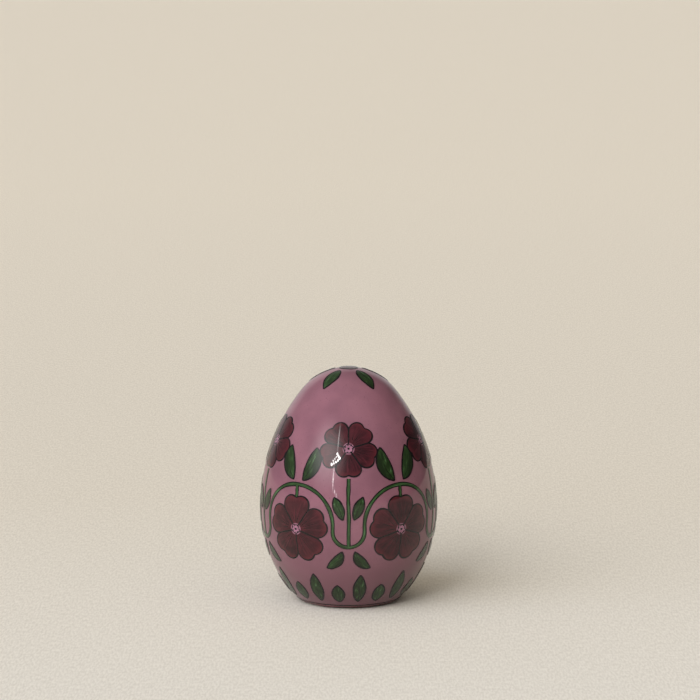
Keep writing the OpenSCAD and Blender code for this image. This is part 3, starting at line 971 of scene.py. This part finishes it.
def add_stalk(vine, turn, foot_z, head_z, seed):
    """A nearly straight stroke up the egg."""
    tilt = tilt_at((foot_z + head_z) / 2)
    count = max(STALK_MIN_POINTS, int((head_z - foot_z) / VINE_SPACING))
    line = np.linspace(flat_of(turn, tilt, turn, foot_z), flat_of(turn, tilt, turn, head_z), count)
    line[:, 0] += STALK_SWAY * waver(count, False, SWAY_WAVES)
    half_w = VINE_HALF_W * (STALK_WIDTH_SHARES[0] + STALK_WIDTH_SHARES[1] * waver(count, False))
    add_stroke(vine, on_egg(turn, tilt, line), half_w, STALK_H, STALK_SECTION, False, seed)


def make_vine():
    vine = Batch()
    loop = []
    for i in range(ROSES):
        loop.append(half_wave(i * STEP, 1)[:-1])
        loop.append(half_wave((i + 1) * STEP, -1)[::-1][:-1])
    path = even_closed(np.concatenate(loop), VINE_ROUNDS, spacing=VINE_SPACING)
    uneven = waver(len(path), True, VINE_WAVES)
    half_w = VINE_HALF_W * (VINE_WIDTH_SHARES[0] + VINE_WIDTH_SHARES[1] * uneven)
    add_stroke(vine, path, half_w, PAINT_H, STALK_SECTION, True, 0.0)
    stalks = [(i * STEP, HIGH_STALK) for i in range(ROSES)]
    stalks += [((i + 0.5) * STEP, LOW_STALK) for i in range(ROSES)]
    for number, (turn, (foot_z, head_z)) in enumerate(stalks):
        add_stalk(vine, turn, foot_z, head_z, FIRST_STALK_SEED + number)
    make_paint("vine_ribbon", vine, vine_underglaze(), "vine")


# Leaves: in pairs at the vine's bends and half way up it, upright round the foot, and in a ring
# round the crown
NODE_GAP = 1.2
SMALL_LEAF_SHARE = 0.7
# Steps round from a high rose, height, degrees aside and of lean, share of the size, and bow
LEAF_PAIRS = ((0.5, VINE_HIGH_Z + NODE_GAP, 3.0, 17.0, 1.0, LEAF_BOW),
              (0.0, VINE_LOW_Z - NODE_GAP, 4.0, 140.0, SMALL_LEAF_SHARE, LEAF_BOW),
              (0.0, (VINE_LOW_Z + VINE_HIGH_Z) / 2 - NODE_GAP, 3.2, 22.0, SMALL_LEAF_SHARE, 0.0))
FOOT_LEAVES = 4 * ROSES
FOOT_LEAF_LEN, FOOT_LEAF_W, FOOT_LEAF_Z = 14.0, 5.2, 3.2
SHORT_LEAF_SHARE = 0.66
CROWN_LEAF_LEN, CROWN_LEAF_W = 11.0, 5.4
CROWN_LEAF_START = BUD_R + 1.5
LEAF_SEED = 1.9
# The fill keeps this far inside the leaf's own outline
LEAF_INSET = 0.6 * LINE_W
LEAF_FILL_POINTS, LEAF_FILL_ROUNDS = 64, 1
LEAF_EDGE_POINTS, LEAF_EDGE_ROUNDS = 110, 2
LEAF_WOBBLE = 0.06
RIB_SHARES, RIB_POINTS = (0.06, 0.72), 20
RIB_HALF_W, RIB_ENDS = 0.2, (0.6, 0.1)


def leaf_places():
    """Turn, tilt, lean, length, width, bow and start along the leaf's own line, in mm and radians."""
    places = []
    for i in range(ROSES):
        for side in (-1, 1):
            for round_by, z, aside_deg, lean_deg, scale, bow in LEAF_PAIRS:
                places.append(((i + round_by) * STEP + side * math.radians(aside_deg), tilt_at(z),
                               side * math.radians(lean_deg), LEAF_LEN * scale, LEAF_W * scale,
                               side * bow, 0.0))
    for i in range(FOOT_LEAVES):
        length = FOOT_LEAF_LEN * (SHORT_LEAF_SHARE if i % 2 else 1.0)
        places.append(((i + 0.5) * 2 * math.pi / FOOT_LEAVES, tilt_at(FOOT_LEAF_Z), 0.0, length,
                       FOOT_LEAF_W, 0.0, 0.0))
    for i in range(ROSES):
        places.append((0.0, math.pi / 2, math.pi - (i + 0.5) * STEP, CROWN_LEAF_LEN, CROWN_LEAF_W,
                       0.0, CROWN_LEAF_START))
    return places


def leaf_mark(lean, width, start):
    """Brush marks of a leaf: along it in widths, and how far to its side."""
    def mark(flat):
        own = turned(flat, lean)
        return np.stack([(own[:, 1] - start) / width, own[:, 0] / (width / 2)], axis=1)
    return mark


def add_leaf(fills, lines, turn, tilt, lean, length, width, bow, start, seed):
    """One leaf: its fill, the dark line round it and its middle rib."""
    up = np.array([0.0, start])
    fill = leaf_outline(length, width, bow, LEAF_INSET)
    fill = turned(even_closed(fill, LEAF_FILL_ROUNDS, LEAF_FILL_POINTS) + up, -lean)
    edge = even_closed(leaf_outline(length, width, bow, LINE_W / 2), LEAF_EDGE_ROUNDS, LEAF_EDGE_POINTS)
    edge = turned(wobble(edge, LEAF_WOBBLE) + up, -lean)
    middle = turned(np.array([[bow * width / 2, length / 2 + start]]), -lean)[0]
    add_pad(fills, turn, tilt, fill, middle, PAINT_H, leaf_mark(lean, width, start), seed)
    add_outline(lines, turn, tilt, edge, seed)
    run = np.linspace(*RIB_SHARES, RIB_POINTS)
    rib = np.stack([bow * width * np.sin(math.pi * run), run * length + start], axis=1)
    add_fine_line(lines, turn, tilt, turned(rib, -lean), RIB_HALF_W, RIB_ENDS, VEIN_H, seed)


def make_leaves(dark):
    fills, lines = Batch(), Batch()
    for number, place in enumerate(leaf_places()):
        add_leaf(fills, lines, *place, LEAF_SEED * number)
    make_paint("leaf_fills", fills, green_underglaze(), "leaves")
    make_paint("leaf_outlines", lines, dark, "leaf_lines")


# The foot line's height and half width, and the shares of the half width that stay and waver
FOOT_LINE_Z, FOOT_LINE_HALF_W = 1.65, 0.24
FOOT_LINE_SHARES = (0.8, 0.2)


def make_foot_line(dark):
    """The dark line round the foot, drawn on a turntable with a slightly unsteady hand."""
    line = Batch()
    angles = np.linspace(0.0, 2 * math.pi, AROUND, endpoint=False)
    out = skin(tilt_at(FOOT_LINE_Z))[0]
    path = np.stack([out * np.sin(angles), -out * np.cos(angles), np.full(AROUND, FOOT_LINE_Z)], axis=1)
    uneven = waver(AROUND, True, FOOT_LINE_WAVES)
    half_w = FOOT_LINE_HALF_W * (FOOT_LINE_SHARES[0] + FOOT_LINE_SHARES[1] * uneven)
    add_stroke(line, path, half_w, LINE_H, LINE_SECTION, True, 0.0)
    make_paint("foot_line", line, dark, "foot_band")


make_turned()
dark_paint = dark_line_underglaze()
make_roses(dark_paint)
make_vine()
make_leaves(dark_paint)
make_foot_line(dark_paint)

# Where the egg stands, and the light of a room with one large window at the left
FLOOR_HALF_M = 8.0
# The room's own light falls off evenly from the window, at this turn and rise, to the far side
ROOM_TURN_DEG, ROOM_RISE_DEG = -48, 38
ROOM_FACING = (-0.05, 1.0)
ROOM_LEVELS = (0.07, 0.4)
ROOM_COLOUR = "#fffdfb"
# What the glaze shows of the room. Each is a soft oval of light: its turn and rise, its half
# width and half height in degrees, the share of it that is at full strength, and the strength
GLOWS = (
    # The window's veil
    (-34, 29, 33, 26, 0.1, 4.3),
    # Its bright panes, along a hook
    (-18.0, 30.3, 1.5, 1.2, 0.3, 75.0),
    (-15.9, 29.0, 1.6, 1.0, 0.3, 75.0),
    (-13.8, 27.7, 1.9, 1.2, 0.3, 80.0),
    (-16.2, 26.3, 1.7, 0.9, 0.3, 70.0),
    (-19.1, 25.3, 1.7, 0.8, 0.3, 60.0),
    (-22.2, 24.3, 1.7, 0.8, 0.3, 60.0),
    (-25.1, 23.4, 1.6, 1.1, 0.3, 75.0),
    (-23.0, 25.7, 1.2, 0.8, 0.3, 40.0),
    (-21.0, 26.9, 1.2, 0.8, 0.3, 30.0),
    (-19.1, 28.1, 1.2, 0.8, 0.3, 40.0),
    # Faint lines of light below them and above them
    (-21.3, 15.6, 1.0, 10.0, 0.3, 17.0),
    (-18.7, 7.4, 1.1, 2.2, 0.3, 12.0),
    (-16.0, 5.2, 1.1, 2.0, 0.3, 12.0),
    (-18.2, 40.0, 1.0, 12.0, 0.3, 9.0),
    # The pale backdrop behind
    (-173, 8, 57, 40, 0.5, 0.62))
# Cool daylight from before the egg at its left, and the warmer light that the ceiling sends back,
# which are white together: turn, rise, spread in degrees, energy and colour
SUNS = {"daylight": (-42, 30, 76, 1.98, "#dfeaff"),
        "ceiling_light": (-20, 75, 120, 0.84, "#fff0d1")}


def make_floor():
    half = FLOOR_HALF_M
    mesh = bpy.data.meshes.new("cloth_floor")
    mesh.from_pydata([(-half, -half, 0.0), (half, -half, 0.0), (half, half, 0.0), (-half, half, 0.0)],
                     [], [(0, 1, 2, 3)])
    mesh.materials.append(linen_cloth())
    floor = bpy.data.objects.new("cloth_floor", mesh)
    bpy.context.collection.objects.link(floor)


def way_to(turn, rise):
    """The way there from the egg: turn is from straight before it, to the right; rise is upwards."""
    return math.sin(turn) * math.cos(rise), -math.cos(turn) * math.cos(rise), math.sin(rise)


def glow(tree, direction, turn_deg, rise_deg, half_w_deg, half_h_deg, core, strength):
    """How strong one soft oval of light is in each direction."""
    turn, rise = math.radians(turn_deg), math.radians(rise_deg)
    own = add(tree, "Mapping", {
        "Vector": direction, "Location": way_to(turn, rise), "Rotation": (-rise, 0.0, turn),
        "Scale": (math.sin(math.radians(half_w_deg)), 1.0, math.sin(math.radians(half_h_deg)))},
        vector_type="TEXTURE")["Vector"]
    far = add(tree, "VectorMath", {0: own}, operation="LENGTH")["Value"]
    return add(tree, "MapRange", {"Value": far, "From Min": 1.0, "From Max": core, "To Min": 0.0,
                                  "To Max": strength}, interpolation_type="SMOOTHSTEP")["Result"]


def make_world():
    world = bpy.data.worlds.new("room")
    bpy.context.scene.world = world
    world.use_nodes = True
    tree = world.node_tree
    tree.nodes.clear()
    direction = add(tree, "TexCoord")["Generated"]
    window = way_to(math.radians(ROOM_TURN_DEG), math.radians(ROOM_RISE_DEG))
    facing = add(tree, "VectorMath", {0: direction, 1: window}, operation="DOT_PRODUCT")["Value"]
    level = add(tree, "MapRange", {
        "Value": facing, "From Min": ROOM_FACING[0], "From Max": ROOM_FACING[1],
        "To Min": ROOM_LEVELS[0], "To Max": ROOM_LEVELS[1]})["Result"]
    for lamp in GLOWS:
        level = add(tree, "Math", {0: level, 1: glow(tree, direction, *lamp)}, operation="ADD")["Value"]
    surface = add(tree, "Background", {"Color": linear(ROOM_COLOUR), "Strength": level})["Background"]
    add(tree, "OutputWorld", {"Surface": surface})


def make_sun(name, turn_deg, rise_deg, spread_deg, energy, colour):
    """A wide soft light of which the glaze shows no image."""
    data = bpy.data.lights.new(name, "SUN")
    data.color = linear(colour)[:3]
    data.angle = math.radians(spread_deg)
    data.energy = energy
    lamp = bpy.data.objects.new(name, data)
    lamp.rotation_euler = (math.pi / 2 - math.radians(rise_deg), 0.0, math.radians(turn_deg))
    lamp.visible_glossy = False
    bpy.context.collection.objects.link(lamp)


make_floor()
make_world()
for name, sun in SUNS.items():
    make_sun(name, *sun)
bpy.context.scene.view_settings.view_transform = "Standard"
